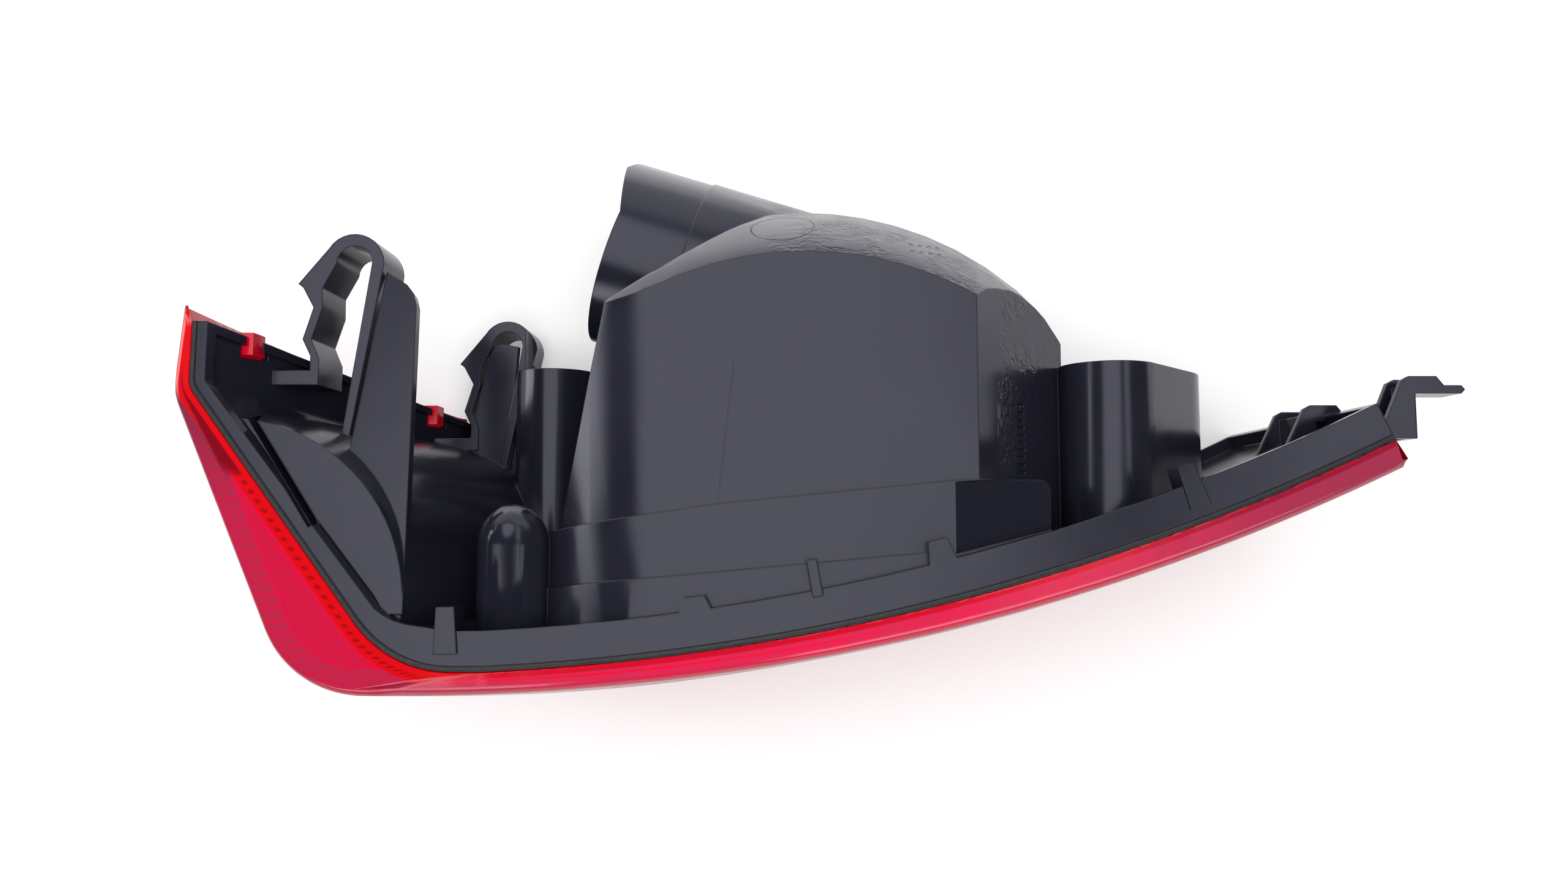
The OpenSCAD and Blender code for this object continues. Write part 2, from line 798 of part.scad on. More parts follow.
module fog_reflector() {
  color(silver) in_fog() cup(socket_r, fog_r - tube_t - liner_t - fit, 26);
}

module tail_reflector() {
  color(silver) in_tail() cup(tail_socket_r - 0.4, tail_r - tube_t - liner_t - fit, 24);
}

// Sealing ring between a bulb holder and its seat
module gasket(recess_r, hole_r) {
  translate([0, 0, -seat_depth]) rotate_extrude()
    translate([hole_r + 0.4, 0]) square([recess_r - hole_r - 1.2, gasket_t]);
}

// Bulb holder: a cap in the recess with a finger grip, and a neck for the bulb
module holder(recess_r, hole_r, bore_r) {
  cap_z = -seat_depth + gasket_t;
  grip = [1.3 * (recess_r - fit), 2.6, 2];
  difference() {
    union() {
      translate([0, 0, cap_z]) cylinder(r = recess_r - fit, h = -recess - cap_z);
      translate([0, 0, -seat_depth - neck_l]) cylinder(r = hole_r - neck_gap, h = neck_l + gasket_t + past);
      translate([-grip[0] / 2, -grip[1] / 2, -recess - past]) cube([grip[0], grip[1], grip[2] + past]);
    }
    translate([0, 0, -seat_depth - neck_l - past])
      cylinder(r = bore_r, h = seat_depth + neck_l + past + bulb_z);
  }
}

// Pair of flat contacts on the outside of a holder, one on each side of the grip
module contacts(spread) {
  for (s = [-1, 1]) {
    translate([-1.4, s * spread - 0.4, -recess]) cube([2.8, 0.8, 2.4]);
  }
}

// Hollow glass of a bayonet bulb, open towards its metal cap
module round_glass() {
  reach = glass_r + 0.5;
  translate([0, 0, bulb_z - cap_l - reach]) difference() {
    union() {
      sphere(glass_r);
      cylinder(r = glass_neck_r, h = reach);
    }
    sphere(glass_r - glass_t);
    cylinder(r = glass_neck_r - glass_t, h = reach + past);
  }
}

// Hollow glass of a wedge bulb with its flat base
module wedge_glass(r, length) {
  base_l = 9;
  translate([0, 0, bulb_z]) {
    translate([-r * 0.85, -r * 0.3, -base_l - past]) cube([r * 1.7, r * 0.6, base_l + past]);
    translate([0, 0, -length + r]) rotate_extrude() difference() {
      intersection() {
        union() {
          circle(r);
          square([r, length - r - base_l]);
        }
        translate([0, -r - past]) square([r + past, length + past]);
      }
      intersection() {
        union() {
          circle(r - glass_t);
          square([r - glass_t, length - r - base_l - 1.5]);
        }
        translate([0, -r]) square([r, length]);
      }
    }
  }
}

// Two lead wires with a filament between them, standing on z and reaching inwards
module filament(z, length, spread) {
  wire_r = 0.35;
  coil_r = 0.55;
  for (s = [-1, 1]) {
    translate([s * spread, 0, z - length]) cylinder(r = wire_r, h = length, $fn = 24);
  }
  translate([-spread - coil_r, 0, z - length]) rotate([0, 90, 0])
    cylinder(r = coil_r, h = 2 * (spread + coil_r), $fn = 24);
}

module stop_gasket() { color("dimgray") in_hood() gasket(hood_r - hood_t, socket_r); }
module stop_holder() { color(grey) in_hood() holder(hood_r - hood_t, socket_r, cap_r + bulb_fit); }
module stop_contacts() { color(brass) in_hood() contacts(9); }
module stop_bulb_cap() {
  color(brass) in_hood() translate([0, 0, bulb_z - cap_l]) cylinder(r = cap_r, h = cap_l);
}
module stop_bulb_glass() { color(clear) in_hood() round_glass(); }
module stop_bulb_filament() { color(silver) in_hood() filament(bulb_z - cap_l, 13, 3); }

module fog_gasket() { color("dimgray") in_fog() gasket(fog_r - tube_t, socket_r); }
module fog_holder() { color(grey) in_fog() holder(fog_r - tube_t, socket_r, fog_bulb_r + bulb_fit); }
module fog_contacts() { color(brass) in_fog() contacts(9); }
module fog_bulb_glass() { color(clear) in_fog() wedge_glass(fog_bulb_r, fog_bulb_l); }
module fog_bulb_filament() { color(silver) in_fog() filament(bulb_z - 10.5, 12, 2.6); }

module tail_gasket() { color("dimgray") in_tail() gasket(tail_r - tube_t, tail_socket_r); }
module tail_holder() { color(grey) in_tail() holder(tail_r - tube_t, tail_socket_r, tail_bulb_r + bulb_fit); }
module tail_contacts() { color(brass) in_tail() contacts(5); }
module tail_bulb_glass() { color(clear) in_tail() wedge_glass(tail_bulb_r, tail_bulb_l); }
module tail_bulb_filament() { color(silver) in_tail() filament(bulb_z - 10.5, 8, 1.8); }

housing();
outer_lens();
lens_seal();
reflex_panel();
main_reflector();
fog_reflector();
tail_reflector();
stop_gasket();
stop_holder();
stop_contacts();
stop_bulb_cap();
stop_bulb_glass();
stop_bulb_filament();
fog_gasket();
fog_holder();
fog_contacts();
fog_bulb_glass();
fog_bulb_filament();
tail_gasket();
tail_holder();
tail_contacts();
tail_bulb_glass();
tail_bulb_filament();
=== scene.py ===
import bpy
import bmesh
import math
from mathutils import Matrix, Vector


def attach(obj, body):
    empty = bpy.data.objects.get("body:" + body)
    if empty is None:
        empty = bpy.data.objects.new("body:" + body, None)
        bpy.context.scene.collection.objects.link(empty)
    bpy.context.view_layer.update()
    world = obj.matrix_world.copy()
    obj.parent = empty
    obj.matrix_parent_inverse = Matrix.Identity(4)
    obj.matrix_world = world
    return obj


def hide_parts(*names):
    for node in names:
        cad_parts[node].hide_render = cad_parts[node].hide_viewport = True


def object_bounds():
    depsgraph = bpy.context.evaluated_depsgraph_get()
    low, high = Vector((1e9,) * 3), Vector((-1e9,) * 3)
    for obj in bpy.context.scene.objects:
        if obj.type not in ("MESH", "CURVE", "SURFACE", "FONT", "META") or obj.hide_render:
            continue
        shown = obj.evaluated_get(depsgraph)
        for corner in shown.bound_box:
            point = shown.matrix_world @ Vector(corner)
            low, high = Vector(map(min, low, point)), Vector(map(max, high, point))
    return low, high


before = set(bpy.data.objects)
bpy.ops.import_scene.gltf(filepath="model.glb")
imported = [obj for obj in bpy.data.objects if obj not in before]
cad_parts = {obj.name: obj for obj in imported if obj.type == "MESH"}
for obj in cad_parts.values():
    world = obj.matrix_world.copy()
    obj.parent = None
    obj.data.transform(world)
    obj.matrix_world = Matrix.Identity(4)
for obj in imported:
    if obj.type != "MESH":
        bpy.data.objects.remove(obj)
MM = 0.001


def corners():
    """Lowest and highest corner of the whole object, in metres."""
    lo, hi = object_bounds()
    return [[float(v) for v in lo], [float(v) for v in hi]]


CAD_BOX = corners()
LOW = Vector(CAD_BOX[0]) / MM

# Plan of the lamp in millimetres, as in the part's source: x inboard, y forwards, z up
LAMP_H = 95.0
INBOARD_X = 159.0
REAR_X0, REAR_Y0, REAR_R = -98.0, -19.6, 600.0
CORNER, CORNER_R = Vector((-125.0, REAR_Y0)), 27
SIDE_KNEE, SIDE_KNEE_R = Vector((-158.0, 57.4)), 16
SIDE_TIP = Vector((-156.0, 80.0))
LEAN_X, LEAN_Y, LEAN_X0, LEAN_SPAN = 46, 20, 20, 130

# The joint between the housing's rim and the lens, and how far inside the rear face it lies
JOINT_CORNER, JOINT_CORNER_R = Vector((-99.3, -13.2)), 30
JOINT_KNEE, JOINT_KNEE_R = Vector((-152.6, 59.0)), 6
JOINT_TIP = Vector((-152.4, 75.8))
JOINT_X0, JOINT_X1 = JOINT_CORNER.x + 23, INBOARD_X - 2.5
DEPTH_OUTER, DEPTH_GROWS = 5.8, 2.8
SEAL_W = 1.6

# The outer face's rounded edges and crown, and how finely the loft is drawn
EDGE_R, CROWN = 1.8, 4.0
REAR_STEPS, CORNER_STEPS, KNEE_STEPS = 60, 24, 8
EDGE_STEPS, FACE_STEPS, WALL_STEPS = 6, 26, 14
LENS_STEP, BEAD_STEP = 2.5, 1.2


def clamp01(v):
    return min(1.0, max(0.0, v))


def smooth(v):
    c = clamp01(v)
    return c * c * (3 - 2 * c)


def rear_y(x):
    return REAR_Y0 + REAR_R - math.sqrt(REAR_R ** 2 - (x - REAR_X0) ** 2)


def joint_y(x):
    share = clamp01((x - REAR_X0) / (INBOARD_X - REAR_X0))
    return rear_y(x) + DEPTH_OUTER + DEPTH_GROWS * share


def fillet(a, b, c, r, n):
    """Points of the arc of radius r that rounds the corner b between a and c."""
    a, b, c = Vector(a), Vector(b), Vector(c)
    u, v = (a - b).normalized(), (c - b).normalized()
    half = math.acos(u.dot(v)) / 2
    centre = b + (u + v).normalized() * r / math.sin(half)
    start = b + u * r / math.tan(half) - centre
    end = b + v * r / math.tan(half) - centre
    a0 = math.atan2(start.y, start.x)
    turn = math.atan2(start.x * end.y - start.y * end.x, start.dot(end))
    angles = (a0 + turn * i / n for i in range(n + 1))
    return [centre + r * Vector((math.cos(t), math.sin(t))) for t in angles]


def parts_between(a, b, step):
    """How many equal parts of at most one step lie between two points."""
    return max(1, math.ceil((b - a).length / step))


def spaced(path, step):
    """The path with points added so that none lie further apart than step."""
    out = [path[0]]
    for a, b in zip(path, path[1:]):
        n = parts_between(a, b, step)
        out += [a.lerp(b, i / n) for i in range(1, n + 1)]
    return out


def filled(a, b, step):
    """Two paths of as many points, with points added between the same neighbours of both."""
    out_a, out_b = [a[0]], [b[0]]
    for i in range(1, len(a)):
        n = parts_between(a[i - 1], a[i], step)
        out_a += [a[i - 1].lerp(a[i], k / n) for k in range(1, n + 1)]
        out_b += [b[i - 1].lerp(b[i], k / n) for k in range(1, n + 1)]
    return out_a, out_b


def across(path, i):
    """Unit vector square to the path at its point i."""
    along = (path[min(i + 1, len(path) - 1)] - path[max(i - 1, 0)]).normalized()
    return Vector((-along.y, along.x))


def shifted(path, by):
    return [p + across(path, i) * by for i, p in enumerate(path)]


def lengths(path):
    """Distance along the path at each of its points."""
    out = [0.0]
    for a, b in zip(path, path[1:]):
        out.append(out[-1] + (b - a).length)
    return out


def to_path(p, path):
    """Distance of a plan point from a path."""
    best = math.inf
    for a, b in zip(path, path[1:]):
        d = b - a
        s = clamp01((p - a).dot(d) / max(d.length_squared, 1e-12))
        best = min(best, (p - a - d * s).length)
    return best


def leaned(p, z):
    """A plan point at height z, where the wrap leans inboard and backwards towards its foot."""
    t = 1 - z / LAMP_H
    w = smooth((LEAN_X0 - p.x) / LEAN_SPAN)
    h = clamp01(p.y / SIDE_TIP.y)
    return Vector((p.x + LEAN_X * w * t, p.y - LEAN_Y * w * h * t, z))


def bulge(z):
    """How far the outer face stands out at height z: a crown with rounded edges."""
    crown = CROWN * (1 - (2 * z / LAMP_H - 1) ** 2)
    e = max(0.0, EDGE_R - min(z, LAMP_H - z))
    return crown - EDGE_R + math.sqrt(EDGE_R ** 2 - e * e)


def rear_line(x_from, x_to, y_at):
    xs = (x_from + (x_to - x_from) * i / REAR_STEPS for i in range(REAR_STEPS + 1))
    return [Vector((x, y_at(x))) for x in xs]


def lens_line():
    return (rear_line(INBOARD_X, REAR_X0, rear_y)
            + fillet((REAR_X0, REAR_Y0), CORNER, SIDE_KNEE, CORNER_R, CORNER_STEPS)
            + fillet(CORNER, SIDE_KNEE, SIDE_TIP, SIDE_KNEE_R, KNEE_STEPS) + [SIDE_TIP])


def joint_line():
    rear = rear_line(JOINT_X1, JOINT_X0, joint_y)
    return (rear + fillet(rear[-1], JOINT_CORNER, JOINT_KNEE, JOINT_CORNER_R, CORNER_STEPS)
            + fillet(JOINT_CORNER, JOINT_KNEE, JOINT_TIP, JOINT_KNEE_R, KNEE_STEPS) + [JOINT_TIP])


# Materials. The limits of ramps and bands are places in millimetres, or levels of a noise or a normal

class Nodes:
    """Short ways to add nodes to a shader tree."""

    def __init__(self, tree):
        self.tree = tree

    def put(self, socket, value):
        """Link another node's output to the socket, or set the socket's own value."""
        if isinstance(value, bpy.types.NodeSocket):
            self.tree.links.new(value, socket)
        elif socket.type == "RGBA":
            socket.default_value = (*value, 1)
        else:
            socket.default_value = value

    def node(self, kind, *values, **named):
        n = self.tree.nodes.new(kind)
        for socket, value in zip(n.inputs, values):
            self.put(socket, value)
        for name, value in named.items():
            self.put(n.inputs[name], value)
        return n

    def math(self, op, a, b=0.0):
        n = self.node("ShaderNodeMath", a, b)
        n.operation = op
        return n.outputs[0]

    def chain(self, op, first, *rest):
        """One operation over any number of values."""
        for value in rest:
            first = self.math(op, first, value)
        return first

    def times(self, *factors):
        return self.chain("MULTIPLY", *factors)

    def plus(self, *terms):
        return self.chain("ADD", *terms)

    def highest(self, *values):
        return self.chain("MAXIMUM", *values)

    def minus(self, a, b):
        return self.math("SUBTRACT", a, b)

    def inverse(self, v):
        return self.minus(1.0, v)

    def within(self, v, length):
        """Place inside a pattern's repeat, from 0 to 1."""
        return self.math("FRACT", self.math("DIVIDE", v, length))

    def vec(self, op, a, b=(0, 0, 0)):
        n = self.node("ShaderNodeVectorMath", a)
        n.operation = op
        self.put(n.inputs["Scale" if op == "SCALE" else 1], b)
        return n.outputs["Value" if op == "LENGTH" else "Vector"]

    def combine(self, x, y):
        return self.node("ShaderNodeCombineXYZ", x, y).outputs[0]

    def split(self, v):
        return self.node("ShaderNodeSeparateXYZ", v).outputs

    def attr(self, name):
        n = self.node("ShaderNodeAttribute")
        n.attribute_name = name
        return n.outputs["Fac"]

    def noise(self, v, scale, detail=3.0, rough=0.55, output="Fac"):
        n = self.node("ShaderNodeTexNoise", Vector=v, Scale=scale, Detail=detail, Roughness=rough)
        return n.outputs[output]

    def ramp(self, v, lo, hi, a=0.0, b=1.0):
        """From a at lo to b at hi, with soft ends."""
        n = self.node("ShaderNodeMapRange", v, lo, hi, a, b)
        n.interpolation_type = "SMOOTHSTEP"
        return n.outputs[0]

    def band(self, v, lo, hi, soft):
        """1 between lo and hi, with soft ends."""
        return self.times(self.ramp(v, lo - soft, lo + soft), self.ramp(v, hi - soft, hi + soft, 1.0, 0.0))

    def mix(self, fac, a, b):
        n = self.node("ShaderNodeMix", fac)
        n.data_type = "RGBA"
        self.put(n.inputs[6], a)
        self.put(n.inputs[7], b)
        return n.outputs[2]

    def bump(self, height, strength, distance, normal=None):
        n = self.node("ShaderNodeBump", Height=height, Strength=strength, Distance=distance)
        if normal:
            self.put(n.inputs["Normal"], normal)
        return n.outputs[0]


class Material(Nodes):
    """A new material and its Principled shader."""

    def __init__(self, name):
        self.mat = bpy.data.materials.new(name)
        self.mat.use_nodes = True
        super().__init__(self.mat.node_tree)
        self.shader = self.tree.nodes["Principled BSDF"]

    def place(self):
        """Position in millimetres."""
        return self.vec("SCALE", self.node("ShaderNodeTexCoord").outputs["Object"], 1 / MM)

    def set(self, **inputs):
        for name, value in inputs.items():
            self.put(self.shader.inputs[name.replace("_", " ")], value)


def shade(colour, share):
    return tuple(c * share for c in colour)


def dome_top(m, p, ny):
    """1 on the forward side of the dome."""
    return m.times(m.ramp(ny, 0.2, 0.35), m.ramp(m.split(p)[1], 78, 92))


def crease_facet(m, p, nx):
    """1 on the main chamber's facet, inboard of the crease."""
    x, y, z = m.split(p)
    return m.times(m.ramp(nx, 0.3, 0.45), m.band(x, 58, 83, 1), m.band(y, 34, 92, 4))


def flow_lines(m, p):
    """Fine wrinkles, drawn along the middle level of a bent noise."""
    stretch, bend = (0.10, 0.16, 0.22), 2.2
    bent = m.vec("SCALE", m.noise(p, 0.05, 2, 0.5, "Color"), bend)
    level = m.noise(m.vec("ADD", m.vec("MULTIPLY", p, stretch), bent), 1.0, 4, 0.6)
    return m.ramp(m.math("ABSOLUTE", m.minus(level, 0.5)), 0.0, 0.09)


def engraved(m, p, top, facet):
    """The ring and two short rows of dots on the dome, and the row of dashes on the facet."""
    x, y, z = m.split(p)
    ring_centre, ring_r, line_w = (-0.5, 104.8, 79.2), 8.5, 0.4
    dash_pitch, dot_pitch, dot_shift = 2.05, 2.6, 0.4
    from_centre = m.vec("LENGTH", m.vec("SUBTRACT", p, ring_centre))
    ring = m.band(from_centre, ring_r, ring_r + line_w, 0.15)
    dashes = m.times(m.band(m.within(y, dash_pitch), 0.3, 0.6, 0.08),
                     m.band(z, 72.0, 74.3, 0.2), m.band(y, 36, 57, 0.3))
    rows = m.plus(m.band(y, 96.3, 97.1, 0.15), m.band(y, 99.1, 99.9, 0.15))
    dots = m.times(m.band(m.within(m.plus(x, dot_shift), dot_pitch), 0.3, 0.65, 0.06),
                   rows, m.band(x, 33.5, 44.5, 0.2))
    return m.highest(m.times(ring, top), m.times(dots, top), m.times(dashes, facet))


def parting_lines(m, p):
    """Faint lines that the mould's halves leave on the main chamber's face and on the hood."""
    x, y, z = m.split(p)
    face_x, face_slant, depth = -20.4, 0.111, 0.06
    off_face = m.math("ABSOLUTE", m.minus(m.minus(x, m.times(y, face_slant)), face_x))
    face = m.times(m.ramp(off_face, 0.30, 0.12), m.band(y, 29, 68, 5), m.ramp(z, 30, 40))
    hood = m.times(m.band(x, -20.8, -20.4, 0.12), m.ramp(y, 104, 112))
    return m.times(m.highest(face, hood), depth)


def falling_tops(m, p, nz):
    """Heights that let the inboard part of the step block and the swelling's top slope away."""
    x, y, z = m.split(p)
    block_x, block_slope, swelling_slope = 44.5, -0.55, 0.42
    above_rim = m.ramp(m.minus(y, m.times(x, 0.25)), 4.5, 4.8)
    below_step = m.ramp(m.minus(y, m.times(x, 0.042)), 32.7, 32.4)
    block = m.times(above_rim, below_step, m.ramp(z, 88, 89), m.band(x, 40, 69.6, 0.1), m.ramp(nz, 0.9, 0.95))
    swelling = m.times(m.band(x, -83, -61, 0.3), m.band(y, -8, 38, 0.3), m.band(z, 74, 91, 1),
                       m.ramp(nz, 0.80, 0.93))
    past = m.highest(m.minus(x, block_x), 0.0)
    return m.plus(m.times(past, block, block_slope), m.times(swelling, y, swelling_slope))


def black_plastic(name, base, rough):
    """Moulded plastic of the housing, with flow marks, scuffs, engraved marks and parting lines."""
    m = Material(name)
    p = m.place()
    nx, ny, nz = m.split(m.node("ShaderNodeNewGeometry").outputs["True Normal"])
    cloudy = m.noise(p, 0.03, 3)
    top, facet = dome_top(m, p, ny), crease_facet(m, p, nx)
    dome = m.times(top, m.band(m.split(p)[0], -2, 84, 6))
    marks = m.times(m.highest(dome, facet), m.ramp(m.noise(p, 0.07, 2), 0.42, 0.62, 0.15, 1.0))
    cuts = m.highest(engraved(m, p, top, facet), parting_lines(m, p))
    scuffs = m.ramp(m.noise(m.vec("MULTIPLY", p, (0.9, 0.12, 0.5)), 1.0, 4, 0.7), 0.66, 0.78)
    m.set(Base_Color=m.mix(m.ramp(cloudy, 0.3, 0.7), shade(base, 0.93), shade(base, 1.07)),
          Roughness=m.plus(m.ramp(cloudy, 0.25, 0.75, rough - 0.04, rough + 0.05),
                           m.times(scuffs, 0.08), m.times(marks, 0.05)),
          IOR=1.5, Specular_Tint=(0.86, 0.86, 1.0))
    rounded = m.node("ShaderNodeBevel", Radius=0.6 * MM)
    rounded.samples = 4
    normal = rounded.outputs[0]
    for height, strength, depth in (
            (falling_tops(m, p, nz), 1.0, 1 * MM),
            (m.noise(p, 0.035, 1, 0.4), 0.16, 1.5 * MM),
            (m.times(flow_lines(m, p), marks), 0.30, 0.5 * MM),
            (m.inverse(cuts), 0.9, 0.5 * MM),
            (m.noise(p, 1.6, 4, 0.6), 0.05, 0.12 * MM)):
        normal = m.bump(height, strength, depth, normal)
    m.set(Normal=normal)
    return m.mat


def plain(name, base, rough, metal=0.0, grain=2.0, depth=0.1, **more):
    """An even material, slightly mottled, with a fine grain in its gloss and surface."""
    m = Material(name)
    p = m.place()
    n = m.noise(p, grain, 4)
    m.set(Base_Color=m.mix(m.ramp(m.noise(p, 0.2, 3), 0.3, 0.7), shade(base, 0.86), base),
          Roughness=m.ramp(n, 0.3, 0.7, rough * 0.85, min(1.0, rough * 1.2)), Metallic=metal,
          Normal=m.bump(n, depth, 0.2 * MM), **more)
    return m.mat


# What the lens's material reads at each vertex: distances in millimetres, and shares from 0 to 1
LENS_VALUES = ("from_edge", "from_joint", "run", "on_wrap", "on_wall", "on_wedge")


def pillow_optics(m, p, run):
    """Distance from the middle of each pillow, in pitches, and 1 in the rear face's three fields."""
    x, y, z = m.split(p)
    pitch = 3.2
    cell = m.combine(m.within(run, pitch), m.within(z, pitch))
    pillow = m.vec("LENGTH", m.vec("SUBTRACT", cell, (0.5, 0.5, 0)))
    borders = (m.band(x, -52, -46, 0.6), m.band(x, 68, 74, 0.6))
    return pillow, m.times(m.band(z, 9, 86, 1), *(m.inverse(border) for border in borders))


def ring_pattern(m, p):
    """Distance from the nearest centre in a hexagonal grid of rings."""
    pitch, turn = 2.35, math.radians(64)
    size = (pitch, pitch * 1.732, 0)
    turned = m.node("ShaderNodeMapping", Vector=p, Rotation=(0, 0, turn)).outputs[0]
    centres = []
    # two grids of oblong cells, half a cell apart, make the hexagonal one
    for off in (0.0, 0.5):
        grid = m.vec("ADD", m.vec("MULTIPLY", turned, (1 / size[0], 1 / size[1], 0)), (off, off, 0))
        cell = m.vec("SUBTRACT", m.vec("FRACTION", grid), (0.5, 0.5, 0))
        centres.append(m.vec("LENGTH", m.vec("MULTIPLY", cell, size)))
    return m.math("MINIMUM", *centres)


def bead_row(m, run, joint):
    """Distance from the nearest bead in the bright strip along the housing."""
    pitch, row_at = 2.6, 2.1
    along = m.times(m.minus(m.within(run, pitch), 0.5), pitch)
    return m.vec("LENGTH", m.combine(along, m.minus(joint, row_at)))


def wrap_wall_colour(m, p, haze, out, joint, run, wedge):
    """The walls along the wrap: a fluted outer band, rings inside it, and a bright strip by the housing,
    whose brightness is painted light coming through the lens.
    """
    groove_red, flute_red, far_band_red = (0.45, 0.016, 0.060), (0.52, 0.010, 0.048), (0.13, 0.026, 0.050)
    gap_red, ring_red, haze_red = (0.70, 0.003, 0.038), (0.42, 0.012, 0.056), (0.58, 0.008, 0.050)
    edge_red, wedge_red = (0.70, 0.003, 0.045), (0.21, 0.0012, 0.010)
    painted_glow_strip_red, bead_red = (0.66, 0.0015, 0.006), (0.26, 0.001, 0.004)
    flutes_per_mm = 1.7
    y = m.split(p)[1]
    flute = m.ramp(m.math("SINE", m.times(run, flutes_per_mm)), -0.7, 0.7)
    band = m.mix(m.times(flute, 0.8), groove_red, flute_red)
    band = m.mix(m.times(m.ramp(y, 20, 62), 0.8), band, far_band_red)
    dot = ring_pattern(m, p)
    ring = m.times(m.ramp(dot, 0.38, 0.62, 0.35, 1.0), m.ramp(dot, 0.82, 1.02, 1.0, 0.0),
                   m.ramp(y, 50, 40), m.ramp(joint, 4.0, 4.6))
    rings = m.mix(ring, gap_red, ring_red)
    rings = m.mix(m.ramp(haze, 0.35, 0.7, 0.0, 0.35), rings, haze_red)
    wall = m.mix(m.ramp(out, 6.6, 7.0), band, rings)
    wall = m.mix(m.times(m.band(out, 6.6, 7.1, 0.2), 0.8), wall, edge_red)
    beads = m.times(m.ramp(bead_row(m, run, joint), 0.45, 0.85, 0.7, 0.0), m.ramp(y, 58, 50))
    # painted light: the strip by the housing is made bright, as if light came through the lens there
    wall = m.mix(m.ramp(joint, 3.7, 3.3), wall, m.mix(beads, painted_glow_strip_red, bead_red))
    return m.mix(m.times(wedge, m.ramp(joint, 1.2, 1.7)), wall, wedge_red)


def rear_wall_colour(m, p, haze, out, joint):
    """The walls along the rear: a thin bright line along the housing, painted as light coming through the
    lens, and a smoky band outside it.
    """
    clear_red, smoky_red = (0.78, 0.014, 0.074), (0.66, 0.022, 0.080)
    inboard_red, corner_red = (0.36, 0.032, 0.078), (0.48, 0.024, 0.070)
    line_red, inboard_line_red = (0.62, 0.003, 0.022), (0.30, 0.010, 0.036)
    outer_line_red = (0.86, 0.002, 0.028)
    x = m.split(p)[0]
    band = m.mix(m.ramp(haze, 0.3, 0.7), clear_red, smoky_red)
    band = m.mix(m.ramp(x, 50, 150), band, inboard_red)
    band = m.mix(m.ramp(x, -20, -105), band, corner_red)
    # painted light: the thin line by the housing is made bright, as if light came through the lens there, and
    # duller inboard
    line = m.mix(m.ramp(x, 70, 130), line_red, inboard_line_red)
    wall = m.mix(m.ramp(joint, 1.7, 1.2), band, line)
    outer_line = m.times(m.band(out, 3.0, 3.5, 0.25), m.ramp(x, 60, -60))
    return m.mix(outer_line, wall, outer_line_red)


def lens_material():
    """Red plastic with optics behind its faces. Its walls have a painted glow, an emission that stands in for
    light coming through them.
    """
    pillow_red, groove_red, black = (0.60, 0.006, 0.03), (0.34, 0.003, 0.02), (0.0, 0.0, 0.0)
    m = Material("red_lens")
    p = m.place()
    out, joint, run, wrap, wall, wedge = (m.attr(name) for name in LENS_VALUES)
    haze = m.noise(p, 0.18, 3)
    pillow, field = pillow_optics(m, p, run)
    face_colour = m.mix(m.times(m.ramp(pillow, 0.15, 0.62), field), pillow_red, groove_red)
    wall_colour = m.mix(m.ramp(wrap, 0.1, 0.75), rear_wall_colour(m, p, haze, out, joint),
                        wrap_wall_colour(m, p, haze, out, joint, run, wedge))
    # The walls' colour is also emitted: a painted glow, standing in for light that comes through the lens.
    m.set(Base_Color=m.mix(wall, face_colour, wall_colour), Roughness=0.12, IOR=1.49,
          Emission_Color=m.mix(wall, black, wall_colour), Emission_Strength=0.14)
    # both walls fall away slightly towards the outer edge, less on the wrap
    fall = m.times(joint, m.ramp(wrap, 0.0, 1.0, -0.36, -0.17))
    pillows = m.times(m.inverse(m.ramp(pillow, 0.1, 0.7)), field, m.inverse(wall))
    normal = None
    for height, strength, depth in (
            (fall, 1.0, 1 * MM), (pillows, 0.5, 0.6 * MM), (m.noise(p, 0.05, 2), 0.15, 2 * MM)):
        normal = m.bump(height, strength, depth, normal)
    m.set(Normal=normal)
    return m.mat


# Pieces. Edges that turn by more than these angles, in degrees, are sharp
SHELL_ANGLE, LENS_ANGLE, BEAD_ANGLE, GLASS_ANGLE = 28, 40, 60, 50


def smooth_faces(bm, degrees):
    """Shade the faces smooth, with sharp edges where they turn by more than the angle."""
    bm.normal_update()
    limit = math.radians(degrees)
    for face in bm.faces:
        face.smooth = True
    for edge in bm.edges:
        edge.smooth = len(edge.link_faces) == 2 and edge.calc_face_angle(0) < limit


def from_bmesh(name, bm, material):
    mesh = bpy.data.meshes.new(name)
    bm.to_mesh(mesh)
    bm.free()
    mesh.materials.append(material)
    o = bpy.data.objects.new(name, mesh)
    bpy.context.scene.collection.objects.link(o)
    return o


def add_piece(name, bm, material, node=None):
    """A piece of the object, with the CAD node that it stands for and the finish that it takes."""
    o = from_bmesh(name, bm, material)
    if node:
        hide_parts(node)
    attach(o, "root")
    return o


def dressed(node, material, angle=SHELL_ANGLE):
    """A joined and smoothed copy of a CAD node."""
    bm = bmesh.new()
    bm.from_mesh(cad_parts[node].data)
    bmesh.ops.remove_doubles(bm, verts=bm.verts, dist=0.002 * MM)
    smooth_faces(bm, angle)
    weigh = add_piece(node + "_shell", bm, material, node).modifiers.new("faces", "WEIGHTED_NORMAL")
    weigh.mode = "FACE_AREA"
    weigh.keep_sharp = True


